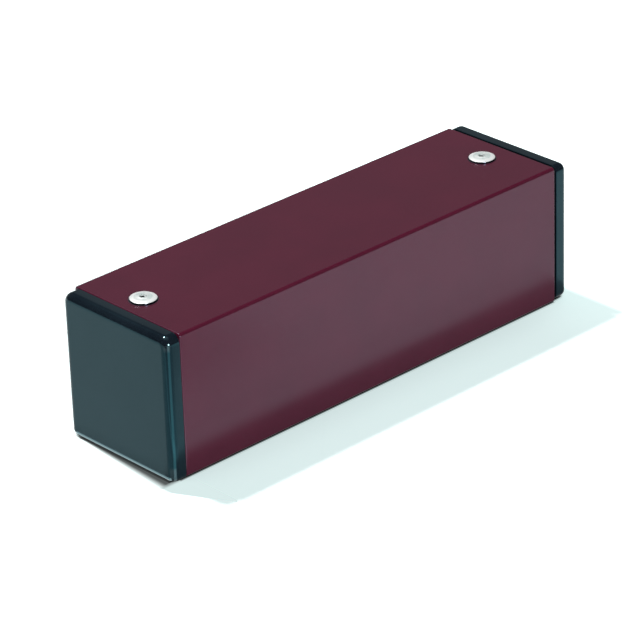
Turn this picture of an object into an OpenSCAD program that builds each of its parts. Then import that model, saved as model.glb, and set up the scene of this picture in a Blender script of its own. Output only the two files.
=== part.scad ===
// Tube shaker: a square metal tube, closed at both ends by riveted plastic caps, with loose shot inside.
// X runs along the tube, Z is up, and the origin is under the middle of the whole length. Millimetres.

/* [Tube] */
// Outside width and height of the square tube
tube_w = 44.5; // [40:0.5:60]
// Length of the tube
tube_l = 150; // [110:1:240]
// Wall thickness of the tube
tube_wall = 1.5; // [1:0.1:2.5]
// Outside corner radius of the tube
tube_outer_r = 0.8; // [0.3:0.1:2]
// Inside corner radius of the tube
tube_inner_r = 0.5; // [0.2:0.1:1]

/* [End caps] */
// Thickness of the flange that closes the end of the tube
flange_t = 4.6; // [3.5:0.1:8]
// Gap left between the tube's right end and its cap, which isn't pushed quite home
right_cap_gap = 0.7; // [0.1:0.1:1.2]
// Step from the tube's outer faces in to the flange's outer faces
flange_step = 0.1; // [0:0.05:0.5]
// Radius of the flange's outer edges and of its four corners
flange_r = 2; // [1:0.1:2.8]
// Chamfer of the flange's edge where it meets the tube
flange_chamfer = 0.3; // [0.1:0.1:0.5]
// Thickness of the end wall, where the cap is hollowed out from inside
end_wall = 2.6; // [2:0.1:3.2]
// Length of the hollow plug inside the tube
plug_l = 16; // [16:0.5:26]
// Wall thickness of the plug
plug_wall = 2.5; // [1.5:0.1:4]
// Gap between the plug's walls and the tube
plug_gap = 0.4; // [0.2:0.05:0.6]
// Corner radius of the plug
plug_r = 1.5; // [1:0.1:3]
// Corner radius of the hollow in the plug
core_r = 1; // [0.5:0.1:2]
// Number of grip ribs round the plug
rib_count = 3; // [2:1:4]
// Width of each grip rib, from its steep face to the end of its ramp
rib_w = 1.4; // [0.8:0.1:2]
// Gap between the crest of a grip rib and the tube
rib_gap = 0.05; // [0.02:0.01:0.1]
// Length of the tapered lead-in at the mouth of the plug
lead_l = 2; // [1:0.1:3]
// Depth of the tapered lead-in at the mouth of the plug
lead_d = 0.8; // [0.3:0.1:1.2]

/* [Rivets] */
// Distance from the tube's left end to its rivet
left_rivet_inset = 8; // [6:0.1:12]
// Distance from the tube's right end to its rivet
right_rivet_inset = 9.8; // [6:0.1:12]
// Distance of each rivet from the middle of the top face
rivet_side = 1.5; // [0:0.1:6]
// Diameter of the rivet's shank
rivet_d = 4; // [3:0.1:4.4]
// Gap between the shank and its holes
rivet_gap = 0.05; // [0.02:0.01:0.2]
// Diameter of the rivet's head
rivet_head_d = 8; // [7:0.1:10]
// Height of the rivet's head
rivet_head_h = 1.2; // [1:0.1:2]
// Height of the upright rim of the rivet's head
rivet_rim_h = 0.6; // [0.2:0.1:0.8]
// Diameter of the bulb that the rivet forms inside the cap
bulb_d = 6.2; // [5.8:0.1:7.5]
// Length of the bulb
bulb_l = 3.8; // [2.5:0.1:4]
// Diameter of the mandrel left in the rivet
mandrel_d = 2.2; // [1.8:0.1:2.4]
// Gap between the mandrel and the rivet's bore
mandrel_gap = 0.03; // [0.02:0.01:0.1]
// Depth of the mandrel's broken end below the top of the rivet's head
mandrel_recess = 0.3; // [0.2:0.1:1]
// Width and height of the chamfer round the mandrel's broken end
mandrel_break = 0.3; // [0.1:0.1:0.5]
// Diameter of the mandrel's head, under the bulb
mandrel_head_d = 3.6; // [3:0.1:4.2]
// Height of the mandrel's head
mandrel_head_h = 1.4; // [1:0.1:1.6]

/* [Shot] */
// Diameter of the steel shot
shot_d = 2.8; // [2:0.1:4]
// Gap left round each ball
shot_gap = 0.3; // [0.2:0.05:0.5]
// Number of balls in the longer rows, which have one ball more than the rows beside them
shot_per_row = 16; // [6:1:18]

/* [Hidden] */
$fn = 64;
// How far a cutting shape runs past the face that it cuts
cut_over = 1;

tube_inner_w = tube_w - 2 * tube_wall;
flange_w = tube_w - 2 * flange_step;
plug_w = tube_inner_w - 2 * plug_gap;
rib_crest_w = tube_inner_w - 2 * rib_gap;
core_w = plug_w - 2 * plug_wall;
rib_pitch = (plug_l - lead_l) / rib_count;
// How far the tube stands to the left of the origin, which is midway between the outer faces of the caps
tube_shift = right_cap_gap / 2;

grip = tube_wall + plug_gap + plug_wall;
rivet_hole_d = rivet_d + 2 * rivet_gap;
rivet_bore_d = mandrel_d + 2 * mandrel_gap;
dome_h = rivet_head_h - rivet_rim_h;
dome_r = (pow(rivet_head_d / 2, 2) + pow(dome_h, 2)) / (2 * dome_h);

shot_pitch = shot_d + shot_gap;
shot_lane_room = tube_inner_w - 2 * shot_gap - shot_d;
shot_rows = floor(shot_lane_room / shot_pitch) + 1;
shot_z = tube_wall + shot_gap + shot_d / 2;

LEFT = 0;
RIGHT = 180;

// Balls in a row: the rows take turns, so that the balls of one lie beside the gaps of the next
function balls_in(row) = shot_per_row - (row + 1) % 2;

// Distance from the flange to the steep face of a grip rib
function rib_at(rib) = (rib + 0.5) * rib_pitch - rib_w / 2;

// Half the outline of the plug, from the flange to the mouth, as distance and half width
function plug_edge() = concat(
    [[0, plug_w / 2]],
    [for (rib = [0:rib_count - 1]) each [
        [rib_at(rib), plug_w / 2],
        [rib_at(rib), rib_crest_w / 2],
        [rib_at(rib) + rib_w, plug_w / 2]
    ]],
    [[plug_l - lead_l, plug_w / 2], [plug_l, plug_w / 2 - lead_d]]
);

// A square with rounded corners, in the middle of its plane
module rounded_square(w, r) {
    square([w - 2 * r, w], center = true);
    square([w, w - 2 * r], center = true);
    for (x = [-1, 1], y = [-1, 1])
        translate([x, y] * (w / 2 - r)) circle(r);
}

// A column of square section along X, round the axis of the tube
module column_along_x(from, to, w, r) {
    translate([from, 0, tube_w / 2])
        rotate([0, 90, 0])
            linear_extrude(to - from) rounded_square(w, r);
}

// Puts a piece that is made for an end at X = 0, with the tube towards +X, at the end that it belongs to
module at_end(turn) {
    translate([-tube_shift, 0, 0])
        rotate([0, 0, turn])
            translate([-tube_l / 2, 0, 0]) children();
}

// Puts a piece that is made round Z, with its seat at Z = 0, at its place on the tube's top face
module on_rivet_axis(inset) {
    translate([inset, rivet_side, tube_w]) children();
}

// The hole for a rivet, through the tube's wall and the plug's
module rivet_hole(inset) {
    on_rivet_axis(inset)
        translate([0, 0, -grip - cut_over])
            cylinder(d = rivet_hole_d, h = grip + 2 * cut_over);
}

// Section of the flange's border: chamfered at the tube, rounded at the outer face
module flange_border() {
    polygon([
        [0, 0],
        [flange_r - flange_chamfer, 0],
        [flange_r, flange_chamfer],
        [flange_r, flange_t - flange_r],
        [0, flange_t - flange_r]
    ]);
    translate([0, flange_t - flange_r])
        intersection() {
            circle(flange_r);
            square(flange_r);
        }
}

// The flange, with the tube's end at Z = 0 and its outer face at Z = flange_t
module flange() {
    flat_w = flange_w - 2 * flange_r;
    translate([-flat_w / 2, -flat_w / 2, 0]) cube([flat_w, flat_w, flange_t]);
    for (side = [0:90:270])
        rotate([0, 0, side])
            translate([flat_w / 2, 0, 0]) {
                translate([0, flat_w / 2, 0])
                    rotate([90, 0, 0])
                        linear_extrude(flat_w) flange_border();
                translate([0, flat_w / 2, 0])
                    rotate_extrude(angle = 90) flange_border();
            }
}

// The outside of the plug: two ribbed outlines crossed, with the corners rounded off
module plug_body() {
    edge = plug_edge();
    outline = concat(edge, [for (i = [len(edge) - 1:-1:0]) [edge[i].x, -edge[i].y]]);
    intersection() {
        translate([0, 0, tube_w / 2])
            linear_extrude(tube_w, center = true) polygon(outline);
        translate([0, 0, tube_w / 2])
            rotate([90, 0, 0])
                linear_extrude(tube_w, center = true) polygon(outline);
        column_along_x(0, plug_l, rib_crest_w, plug_r);
    }
}

// Cap for the left end: flange outside the tube, hollow ribbed plug inside it
module cap(inset) {
    difference() {
        union() {
            translate([0, 0, tube_w / 2]) rotate([0, -90, 0]) flange();
            plug_body();
        }
        column_along_x(end_wall - flange_t, plug_l + cut_over, core_w, core_r);
        rivet_hole(inset);
    }
}

// Blind rivet as set: domed head on the tube, shank through both walls, bulb inside the plug
module rivet() {
    bulb_mid = -grip - bulb_l / 2;
    difference() {
        union() {
            intersection() {
                translate([0, 0, rivet_head_h - dome_r]) sphere(dome_r);
                cylinder(d = rivet_head_d, h = rivet_head_h);
            }
            translate([0, 0, bulb_mid]) cylinder(d = rivet_d, h = rivet_rim_h - bulb_mid);
            translate([0, 0, bulb_mid])
                intersection() {
                    sphere(d = bulb_d);
                    cylinder(d = bulb_d, h = bulb_l, center = true);
                }
        }
        translate([0, 0, -grip - bulb_l - cut_over])
            cylinder(d = rivet_bore_d, h = grip + bulb_l + rivet_head_h + 2 * cut_over);
    }
}

// Mandrel left in a set rivet: broken stem in the bore, head pulled up against the bulb
module mandrel() {
    stem_r = mandrel_d / 2;
    stem_top = rivet_head_h - mandrel_recess;
    seat = -grip - bulb_l;
    rotate_extrude()
        polygon([
            [0, seat - mandrel_head_h / 2],
            [stem_r, seat - mandrel_head_h / 2],
            [stem_r, stem_top - mandrel_break],
            [stem_r - mandrel_break, stem_top],
            [0, stem_top]
        ]);
    translate([0, 0, seat])
        intersection() {
            sphere(d = mandrel_head_d);
            translate([0, 0, -mandrel_head_h]) cylinder(d = mandrel_head_d, h = mandrel_head_h);
        }
}

module tube() {
    color("#5c323e")
        difference() {
            at_end(LEFT) column_along_x(0, tube_l, tube_w, tube_outer_r);
            at_end(LEFT) column_along_x(-cut_over, tube_l + cut_over, tube_inner_w, tube_inner_r);
            at_end(LEFT) rivet_hole(left_rivet_inset);
            at_end(RIGHT) rivet_hole(right_rivet_inset);
        }
}

module left_cap() {
    color("#1f2a30") at_end(LEFT) cap(left_rivet_inset);
}

module right_cap() {
    color("#1f2a30")
        at_end(RIGHT)
            translate([-right_cap_gap, 0, 0]) cap(right_rivet_inset + right_cap_gap);
}

module left_rivet() {
    color("#d8dcdb") at_end(LEFT) on_rivet_axis(left_rivet_inset) rivet();
}

module right_rivet() {
    color("#d8dcdb") at_end(RIGHT) on_rivet_axis(right_rivet_inset) rivet();
}

module left_mandrel() {
    color("#7c8082") at_end(LEFT) on_rivet_axis(left_rivet_inset) mandrel();
}

module right_mandrel() {
    color("#7c8082") at_end(RIGHT) on_rivet_axis(right_rivet_inset) mandrel();
}

// One lane of shot on the floor of the tube, in the middle of its length
module shot_row(row) {
    lane = row - (shot_rows + 1) / 2;
    balls = balls_in(row);
    color("#a3a8ab")
        for (ball = [0:balls - 1])
            translate([(ball - (balls - 1) / 2) * shot_pitch, lane * shot_pitch, shot_z])
                sphere(d = shot_d);
}

tube();
left_cap();
right_cap();
left_rivet();
right_rivet();
left_mandrel();
right_mandrel();
for (row = [1:shot_rows])
    shot_row(row);
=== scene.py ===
"""Tube shaker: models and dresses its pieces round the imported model, and sets up the studio and the camera.

Lengths are in metres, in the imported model's own frame: X along the tube, Z up, the origin under its middle.
"""
import logging
import math
from collections.abc import Callable, Sequence
from dataclasses import dataclass, field
from enum import Enum

import bmesh
import bpy
from mathutils import Matrix, Vector

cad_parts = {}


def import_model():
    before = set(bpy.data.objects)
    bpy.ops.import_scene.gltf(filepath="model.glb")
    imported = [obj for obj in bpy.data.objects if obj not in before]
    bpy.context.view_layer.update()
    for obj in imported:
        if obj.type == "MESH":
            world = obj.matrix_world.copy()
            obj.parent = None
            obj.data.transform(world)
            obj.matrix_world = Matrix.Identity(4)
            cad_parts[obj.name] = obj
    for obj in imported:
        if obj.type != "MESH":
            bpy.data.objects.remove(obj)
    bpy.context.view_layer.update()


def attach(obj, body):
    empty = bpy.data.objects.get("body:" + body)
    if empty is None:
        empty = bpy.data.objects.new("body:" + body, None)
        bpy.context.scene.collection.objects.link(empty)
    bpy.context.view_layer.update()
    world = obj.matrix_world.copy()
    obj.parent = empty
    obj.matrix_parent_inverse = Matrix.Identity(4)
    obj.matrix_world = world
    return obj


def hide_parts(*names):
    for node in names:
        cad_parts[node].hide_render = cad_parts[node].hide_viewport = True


LOG = logging.getLogger("shaker")

MM = 0.001
IMAGE_PIXELS = 640
SHELL_BODY = "shell"
SHADE_ANGLE = math.radians(35)
BLACK = (0, 0, 0)
UP = Vector((0, 0, 1))
DOWN = Vector((0, 0, -1))

# Part of a normal along an axis: at least, where a face looks that way, and at most, where it is edge-on
FACING = 0.9
EDGE_ON = 0.1

Span = tuple[float, float]
Station = tuple[float, float]
Triple = tuple[float, float, float]
Colour = Triple
Socket = bpy.types.NodeSocket
Sockets = bpy.types.bpy_prop_collection
Feed = float | Sequence[float] | Socket
Feeds = dict[str | int, Feed]


class End(Enum):
    """The two ends of the tube, by the sign of X."""

    LEFT = -1
    RIGHT = 1

    @property
    def side(self) -> str:
        """The end's name as the nodes spell it."""
        return self.name.lower()


class Element(Enum):
    """What is picked in edit mode, with the mesh's own name for all of them."""

    FACE = "faces"
    EDGE = "edges"


# Modelling


def deselect_all() -> None:
    """Leaves no object selected."""
    bpy.ops.object.select_all(action="DESELECT")


def select_only(obj: bpy.types.Object) -> None:
    """Makes one object the selected and the active one.

    Args:
        obj: The object that the next operators act on.
    """
    deselect_all()
    obj.select_set(True)
    bpy.context.view_layer.objects.active = obj


def apply_modifier(obj: bpy.types.Object, modifier: bpy.types.Modifier) -> None:
    """Applies a modifier, with its values set, to the mesh that carries it."""
    select_only(obj)
    bpy.ops.object.modifier_apply(modifier=modifier.name)


def shade(obj: bpy.types.Object) -> None:
    """Shades a mesh smooth over its rounded edges and leaves its flat faces flat.

    Args:
        obj: The mesh to shade.
    """
    select_only(obj)
    bpy.ops.object.shade_smooth_by_angle(angle=SHADE_ANGLE)
    even = obj.modifiers.new("even_normals", "WEIGHTED_NORMAL")
    even.keep_sharp = True
    even.weight = 100
    apply_modifier(obj, even)


def add_disc(foot: Vector, radius: float, height: float, sides: int) -> bpy.types.Object:
    """Adds an upright round disc.

    Args:
        foot: The middle of the lower face.
        radius: The disc's radius.
        height: The disc's height.
        sides: The number of sides of the round wall.

    Returns:
        The disc, selected and active.
    """
    deselect_all()
    middle = foot + UP * (height / 2)
    bpy.ops.mesh.primitive_cylinder_add(vertices=sides, radius=radius, depth=height, location=middle)
    return bpy.context.active_object


class Blank:
    """A mesh in edit mode, shaped step by step from a primitive."""

    def __init__(self, name: str, obj: bpy.types.Object) -> None:
        """Takes over a new primitive, names it and opens it for editing.

        Args:
            name: The piece's name.
            obj: The primitive, selected and active.
        """
        self.obj = obj
        obj.name = name
        obj.data.name = name
        bpy.ops.object.transform_apply(location=True, rotation=True, scale=True)
        bpy.ops.object.mode_set(mode="EDIT")

    @classmethod
    def box(cls, name: str, low: Vector, high: Vector) -> "Blank":
        """Starts from a box.

        Args:
            name: The piece's name.
            low: The lowest corner.
            high: The highest corner.

        Returns:
            The box, open for editing.
        """
        deselect_all()
        bpy.ops.mesh.primitive_cube_add(size=1, location=(low + high) / 2, scale=high - low)
        return cls(name, bpy.context.active_object)

    @classmethod
    def disc(cls, name: str, foot: Vector, radius: float, height: float, sides: int) -> "Blank":
        """Starts from an upright round disc, given as add_disc takes it."""
        return cls(name, add_disc(foot, radius, height, sides))

    @classmethod
    def ball(cls, name: str, middle: Vector, radius: float) -> "Blank":
        """Starts from a coarse ball of triangles.

        Args:
            name: The piece's name.
            middle: The ball's middle.
            radius: The ball's radius.

        Returns:
            The ball, open for editing.
        """
        deselect_all()
        bpy.ops.mesh.primitive_ico_sphere_add(subdivisions=2, radius=radius, location=middle)
        return cls(name, bpy.context.active_object)

    def pick_faces(self, test: Callable[[bmesh.types.BMFace], bool]) -> None:
        """Selects the faces that pass a test, and nothing else."""
        self._pick(Element.FACE, test)

    def pick_edges(self, test: Callable[[bmesh.types.BMEdge], bool]) -> None:
        """Selects the edges that pass a test, and nothing else."""
        self._pick(Element.EDGE, test)

    def _pick(self, element: Element, test: Callable[..., bool]) -> None:
        """Selects the faces or the edges that pass a test, and nothing else.

        Args:
            element: What is picked.
            test: True for one to select.
        """
        bpy.ops.mesh.select_mode(type=element.name)
        bpy.ops.mesh.select_all(action="DESELECT")
        mesh = bmesh.from_edit_mesh(self.obj.data)
        for part in getattr(mesh, element.value):
            if test(part):
                part.select_set(True)
        bmesh.update_edit_mesh(self.obj.data)

    def extrude(self, move: Vector) -> None:
        """Extrudes the selected faces."""
        bpy.ops.mesh.extrude_region_move(TRANSFORM_OT_translate={"value": move})

    def resize(self, factors: Sequence[float], centre: Vector) -> None:
        """Scales what is selected by a factor along each axis, about a point that stays where it is."""
        bpy.ops.transform.resize(value=factors, center_override=centre)

    def bevel(self, width: float, segments: int) -> None:
        """Rounds the selected edges to a radius, by a number of strips."""
        bpy.ops.mesh.bevel(offset=width, segments=segments, profile=0.5, affect="EDGES")

    def draw_out(self, stations: Sequence[Station], along: Vector, axis: Vector) -> None:
        """Draws the selected face out along a line, through stations of its own outline at other sizes.

        Args:
            stations: Pairs of half width and place along the line. The first is where the face is now.
            along: The direction of the line, one of the three axes.
            axis: Any point on the line, which the outline is scaled about.
        """
        across = [0.0 if abs(part) > 0.5 else 1.0 for part in along]
        for (width, place), (next_width, next_place) in zip(stations, stations[1:]):
            self.extrude(along * (next_place - place))
            ratio = next_width / width
            if ratio != 1:
                self.resize([1 + (ratio - 1) * part for part in across], axis)

    def close(self) -> bpy.types.Object:
        """Merges doubled points, turns all faces outwards and leaves edit mode.

        Returns:
            The finished mesh object.
        """
        bpy.ops.mesh.select_mode(type="VERT")
        bpy.ops.mesh.select_all(action="SELECT")
        bpy.ops.mesh.remove_doubles(threshold=1e-7)
        bpy.ops.mesh.normals_make_consistent(inside=False)
        bpy.ops.mesh.select_all(action="DESELECT")
        bpy.ops.object.mode_set(mode="OBJECT")
        return self.obj


# Shader nodes


class NodeSheet:
    """A node tree with short ways to add nodes and join their sockets."""

    def __init__(self, tree: bpy.types.NodeTree) -> None:
        """Keeps the tree that the nodes go into."""
        self.tree = tree

    def add(self, kind: str, feeds: Feeds | None = None, **settings: object) -> bpy.types.Node:
        """Adds a node.

        Args:
            kind: The node's type name.
            feeds: What goes into its inputs, by name or number: a value, or the socket that it comes from.
            **settings: The node's other settings.

        Returns:
            The new node.
        """
        node = self.tree.nodes.new(kind)
        for name, value in settings.items():
            setattr(node, name, value)
        self.feed_all(node, feeds or {})
        return node

    def feed_all(self, node: bpy.types.Node, feeds: Feeds) -> None:
        """Sets or joins several inputs of a node."""
        for name, value in feeds.items():
            self.feed(node.inputs[name], value)

    def feed(self, target: Socket, value: Feed) -> None:
        """Sets an input, or joins it to the socket that feeds it.

        Args:
            target: The input.
            value: A value, or an output socket.
        """
        if isinstance(value, Socket):
            self.tree.links.new(value, target)
        elif isinstance(target, bpy.types.NodeSocketColor):
            target.default_value = (*value, 1.0)
        else:
            target.default_value = value

    def maths(self, operation: str, first: Feed, second: Feed) -> Socket:
        """Adds a sum of two numbers, by the operation's name."""
        return self.add("ShaderNodeMath", {0: first, 1: second}, operation=operation).outputs[0]

    def vector(self, operation: str, first: Feed, second: Feed = (0, 0, 0)) -> Socket:
        """Adds a sum of one or two vectors, by the operation's name."""
        return self.add("ShaderNodeVectorMath", {0: first, 1: second}, operation=operation).outputs[0]

    def length(self, vector: Feed) -> Socket:
        """Measures the length of a vector."""
        return self.add("ShaderNodeVectorMath", {0: vector}, operation="LENGTH").outputs["Value"]

    def parts(self, vector: Feed) -> Sockets:
        """Splits a vector into its parts, by axis or number."""
        return self.add("ShaderNodeSeparateXYZ", {0: vector}).outputs

    def noise(self, place: Feed, scale: Feed, detail: float, roughness: float = 0.5) -> Socket:
        """Adds a cloudy noise about 0.5, by its features in a metre and its finer layers."""
        feeds = {"Vector": place, "Scale": scale, "Detail": detail, "Roughness": roughness}
        return self.add("ShaderNodeTexNoise", feeds).outputs["Fac"]

    def swing(self, noise: Feed, amount: float) -> Socket:
        """Turns a noise about 0.5 into a swing about 0."""
        return self.maths("MULTIPLY", self.maths("SUBTRACT", noise, 0.5), amount)

    def ramp(self, value: Feed, start: Feed, end: Feed, low: Feed, high: Feed) -> Socket:
        """Adds a smooth step of a value from start to end, from a low level to a high one."""
        feeds = {"Value": value, "From Min": start, "From Max": end, "To Min": low, "To Max": high}
        return self.add("ShaderNodeMapRange", feeds, interpolation_type="SMOOTHSTEP").outputs[0]

    def tint(self, share: Feed, first: Feed, second: Feed) -> Socket:
        """Adds a mix of two colours, by the share of the second."""
        return self.add("ShaderNodeMix", {0: share, 6: first, 7: second}, data_type="RGBA").outputs[2]

    def bump(self, height: Feed, distance: float, strength: float = 1.0) -> Socket:
        """Adds a relief whose full height is a distance."""
        feeds = {"Height": height, "Distance": distance, "Strength": strength}
        return self.add("ShaderNodeBump", feeds).outputs[0]

    def object_place(self, origin: Sequence[float]) -> Socket:
        """Reads Object coordinates from a chosen origin.

        Args:
            origin: The point of the frame that becomes the origin.

        Returns:
            The coordinates.
        """
        place = self.add("ShaderNodeTexCoord").outputs["Object"]
        shift = [-part for part in origin]
        return self.add("ShaderNodeMapping", {"Vector": place, "Location": shift}).outputs[0]


class EffectGroup:
    """A shader node group with named inputs and outputs, built once."""

    def __init__(self, name: str, vectors: Sequence[str], numbers: Sequence[str],
                 outputs: Sequence[str]) -> None:
        """Makes the empty group.

        Args:
            name: The group's name.
            vectors: The names of the inputs that are vectors.
            numbers: The names of the inputs that are numbers.
            outputs: The names of the outputs, all numbers.
        """
        self.tree = bpy.data.node_groups.new(name, "ShaderNodeTree")
        sockets = [(label, "INPUT", "NodeSocketVector") for label in vectors]
        sockets += [(label, "INPUT", "NodeSocketFloat") for label in numbers]
        sockets += [(label, "OUTPUT", "NodeSocketFloat") for label in outputs]
        for label, way, kind in sockets:
            self.tree.interface.new_socket(label, in_out=way, socket_type=kind)
        self.sheet = NodeSheet(self.tree)
        self.source = self.tree.nodes.new("NodeGroupInput").outputs
        self.target = self.tree.nodes.new("NodeGroupOutput").inputs

    def put_out(self, label: str, value: Socket) -> None:
        """Joins a result to one of the group's outputs."""
        self.sheet.feed(self.target[label], value)


class Effects:
    """The effects that more than one finish uses."""

    WEAR_BREAKUP: Span = (0.45, 0.65)
    SCUFF_EDGE: float = 0.03
    SCUFF_TURNS: tuple[Triple, Triple] = ((0.3, 0.2, 0.5), (0.9, -0.4, -0.8))
    SCUFF_STRETCHES: tuple[Triple, Triple] = ((0.06, 1.0, 1.0), (1.0, 0.05, 1.0))

    def __init__(self) -> None:
        """Builds the groups."""
        self._grain = self._build_grain()
        self._edge_wear = self._build_edge_wear()
        self._scuffs = self._build_scuffs()

    def _build_grain(self) -> bpy.types.NodeTree:
        """Builds fine grain over broad clouds, which can be drawn out along the piece.

        Returns:
            The group's tree.
        """
        outputs = ("Fine", "Broad", "Drawn")
        effect = EffectGroup("surface_grain", ("Vector", "Stretch"), ("Fine Scale", "Broad Scale"), outputs)
        sheet = effect.sheet
        place = effect.source["Vector"]
        drawn_place = sheet.vector("MULTIPLY", place, effect.source["Stretch"])
        effect.put_out("Fine", sheet.noise(place, effect.source["Fine Scale"], detail=3, roughness=0.6))
        effect.put_out("Broad", sheet.noise(place, effect.source["Broad Scale"], detail=4, roughness=0.55))
        effect.put_out("Drawn", sheet.noise(drawn_place, effect.source["Fine Scale"], detail=2))
        return effect.tree

    def _build_edge_wear(self) -> bpy.types.NodeTree:
        """Builds wear along the edges of a box, broken up by noise.

        Returns:
            The group's tree.
        """
        effect = EffectGroup("edge_wear", ("Vector", "Half Size"), ("Reach", "Breakup Scale"), ("Wear",))
        sheet = effect.sheet
        place = effect.source["Vector"]
        depth = sheet.vector("SUBTRACT", effect.source["Half Size"], sheet.vector("ABSOLUTE", place))
        parts = sheet.parts(depth)
        nearer = sheet.maths("MINIMUM", parts[0], parts[1])
        further = sheet.maths("MAXIMUM", parts[0], parts[1])
        second = sheet.maths("MAXIMUM", nearer, sheet.maths("MINIMUM", further, parts[2]))
        edge = sheet.ramp(second, 0.0, effect.source["Reach"], 1.0, 0.0)
        breakup = sheet.noise(place, effect.source["Breakup Scale"], detail=4, roughness=0.65)
        broken = sheet.ramp(breakup, *self.WEAR_BREAKUP, 0.0, 1.0)
        effect.put_out("Wear", sheet.maths("MULTIPLY", edge, broken))
        return effect.tree

    def _build_scuffs(self) -> bpy.types.NodeTree:
        """Builds sparse short hairline scuffs in two directions.

        Returns:
            The group's tree.
        """
        effect = EffectGroup("scuffs", ("Vector",), ("Scale", "Rarity"), ("Scuff",))
        sheet = effect.sheet
        rarity = effect.source["Rarity"]
        layers = []
        for turn, stretch in zip(self.SCUFF_TURNS, self.SCUFF_STRETCHES):
            mapping = {"Vector": effect.source["Vector"], "Rotation": turn, "Scale": stretch}
            place = sheet.add("ShaderNodeMapping", mapping).outputs[0]
            fine = sheet.noise(place, effect.source["Scale"], detail=1)
            limit = sheet.maths("ADD", rarity, self.SCUFF_EDGE)
            layers.append(sheet.ramp(fine, rarity, limit, 0.0, 1.0))
        effect.put_out("Scuff", sheet.maths("MAXIMUM", *layers))
        return effect.tree

    def grain(self, sheet: NodeSheet, place: Socket, fine: float, broad: float,
              stretch: Triple = (1, 1, 1)) -> Sockets:
        """Places the grain: Fine, Broad, and Drawn, which is the fine grain drawn out.

        Args:
            sheet: The finish's sheet of nodes.
            place: The coordinates.
            fine: The scale of the fine grain.
            broad: The scale of the broad clouds.
            stretch: The factors on the coordinates that draw the grain out.

        Returns:
            The group's outputs.
        """
        feeds = {"Vector": place, "Stretch": stretch, "Fine Scale": fine, "Broad Scale": broad}
        return sheet.add("ShaderNodeGroup", feeds, node_tree=self._grain).outputs

    def edge_wear(self, sheet: NodeSheet, place: Socket, half_size: Triple, reach: float,
                  scale: float) -> Socket:
        """Places the wear along edges.

        Args:
            sheet: The finish's sheet of nodes.
            place: The coordinates from the middle of the box.
            half_size: Half the size of the box.
            reach: How far the wear reaches from an edge.
            scale: The scale of the noise that breaks it up.

        Returns:
            The strength of the wear.
        """
        feeds = {"Vector": place, "Half Size": half_size, "Reach": reach, "Breakup Scale": scale}
        return sheet.add("ShaderNodeGroup", feeds, node_tree=self._edge_wear).outputs["Wear"]

    def scuffs(self, sheet: NodeSheet, place: Socket, scale: float, rarity: float) -> Socket:
        """Places the scuffs, by their scale and by how rare they are."""
        feeds = {"Vector": place, "Scale": scale, "Rarity": rarity}
        return sheet.add("ShaderNodeGroup", feeds, node_tree=self._scuffs).outputs["Scuff"]


def new_material(name: str) -> tuple[bpy.types.Material, NodeSheet, bpy.types.Node]:
    """Makes a material with one Principled shader.

    Args:
        name: The material's name.

    Returns:
        The material, its sheet of nodes and the shader.
    """
    material = bpy.data.materials.new(name)
    material.use_nodes = True
    return material, NodeSheet(material.node_tree), material.node_tree.nodes["Principled BSDF"]


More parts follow.
